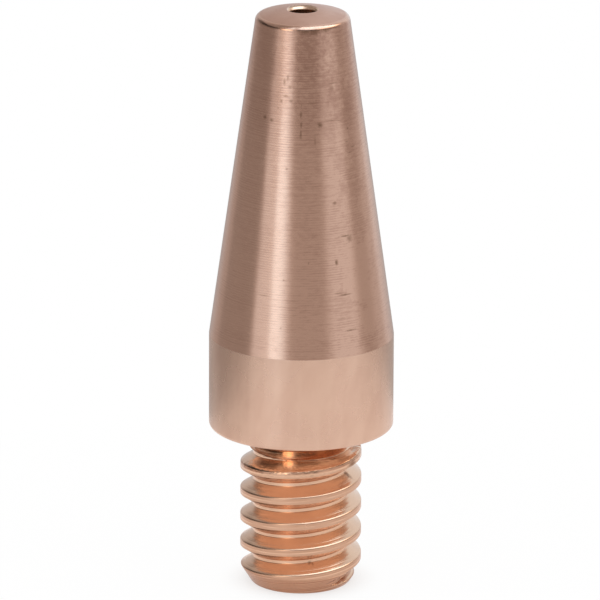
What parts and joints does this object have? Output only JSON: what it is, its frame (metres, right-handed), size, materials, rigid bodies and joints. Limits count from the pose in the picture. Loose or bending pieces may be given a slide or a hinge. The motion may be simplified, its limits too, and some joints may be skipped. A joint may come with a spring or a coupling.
{
  "type": "welding contact tip",
  "caption": "Turned copper contact tip for a wire welding torch: tapered nose with a wire bore, plain shank with a shoulder, and a coarse right-hand threaded stem.",
  "frame": {"origin": "centre of the threaded end, on the plane that the tip stands on", "axes": "+Z along the wire bore from the threaded end to the nose; the picture looks along +Y"},
  "size_m": [0.012, 0.012, 0.0385],
  "materials": {
    "copper": "bare copper alloy: fine turning lines on the taper, smooth drawn bar on the shank, bright cut thread"
  },
  "bodies": {
    "root": {"contact_tip": "copper"}
  },
  "joints": []
}
